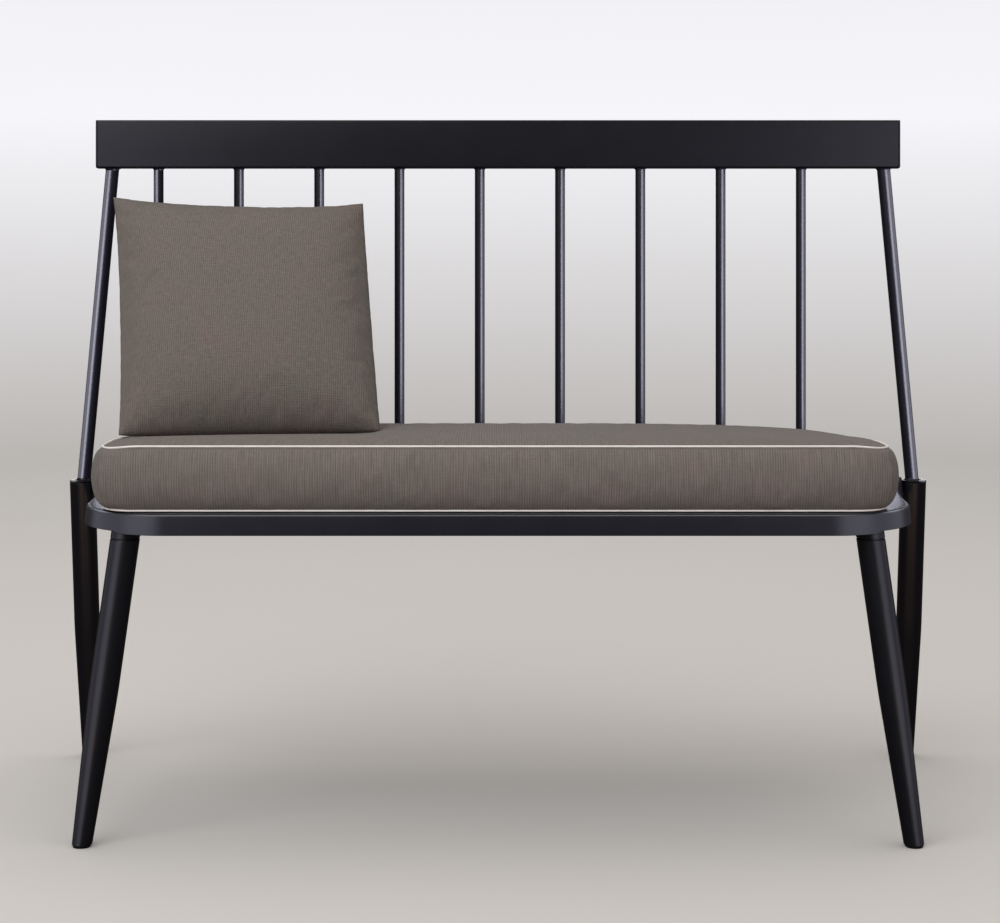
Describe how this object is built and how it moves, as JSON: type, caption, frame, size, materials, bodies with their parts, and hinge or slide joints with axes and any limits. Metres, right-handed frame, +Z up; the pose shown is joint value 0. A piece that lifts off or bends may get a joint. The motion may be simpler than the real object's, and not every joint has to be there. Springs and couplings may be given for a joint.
{
  "type": "entryway bench",
  "caption": "Steel spindle-back bench with a flat top rail, pressed seat pan and splayed tapered legs, a piped box seat cushion and a square throw pillow.",
  "frame": {"origin": "on the floor, under the middle of the bench's footprint", "axes": "+X to the right of someone who faces the bench, the bench faces -Y, +Z up"},
  "size_m": [1.3, 0.5291, 0.9789],
  "materials": {
    "frame_steel": "satin black powder coat with a fine texture",
    "fastener_steel": "black oxide",
    "glide_plastic": "black moulded nylon",
    "cushion_fabric": "taupe woven fabric, fine ribbed weave",
    "pillow_fabric": "taupe woven fabric, fine plain weave",
    "piping_fabric": "cream cotton piping",
    "foam": "open-cell seat foam",
    "filling": "white polyester filling in its liner",
    "zip_tape": "taupe coil zip"
  },
  "bodies": {
    "frame": {"seat_pan": "frame_steel", "seat_cross_bar_front": "frame_steel", "seat_cross_bar_middle": "frame_steel", "seat_cross_bar_rear": "frame_steel", "top_rail": "frame_steel", "seat_side_bar_left": "frame_steel", "seat_side_bar_right": "frame_steel", "front_leg_stub_left": "frame_steel", "front_leg_stub_right": "frame_steel", "front_leg_left": "frame_steel", "front_leg_right": "frame_steel", "rear_leg_left": "frame_steel", "rear_leg_right": "frame_steel", "rear_leg_cap_left": "frame_steel", "rear_leg_cap_right": "frame_steel", "back_post_left": "frame_steel", "back_post_right": "frame_steel", "rail_end_cap_left": "frame_steel", "rail_end_cap_right": "frame_steel", "spindle_1": "frame_steel", "spindle_2": "frame_steel", "spindle_3": "frame_steel", "spindle_4": "frame_steel", "spindle_5": "frame_steel", "spindle_6": "frame_steel", "spindle_7": "frame_steel", "spindle_8": "frame_steel", "spindle_9": "frame_steel", "front_leg_bolt_left": "fastener_steel", "front_leg_bolt_right": "fastener_steel", "rear_leg_bolt_left": "fastener_steel", "rear_leg_bolt_right": "fastener_steel", "back_post_screw_left": "fastener_steel", "back_post_screw_right": "fastener_steel", "foot_glide_front_left": "glide_plastic", "foot_glide_front_right": "glide_plastic", "foot_glide_rear_left": "glide_plastic", "foot_glide_rear_right": "glide_plastic"},
    "seat_cushion": {"seat_cushion_cover": "cushion_fabric", "seat_cushion_foam": "foam", "seat_cushion_zip": "zip_tape", "seat_cushion_piping_top": "piping_fabric", "seat_cushion_piping_bottom": "piping_fabric"},
    "throw_pillow": {"throw_pillow_cover": "pillow_fabric", "throw_pillow_insert": "filling", "throw_pillow_zip": "zip_tape"}
  },
  "joints": [
    {"name": "cushion_lift", "type": "slide", "parent": "frame", "child": "seat_cushion", "axis": [0, 0, 1], "range_m": [0, 0.2]},
    {"name": "pillow_lift", "type": "slide", "parent": "seat_cushion", "child": "throw_pillow", "axis": [0, -0.6, 0.8], "range_m": [0, 0.25]}
  ]
}
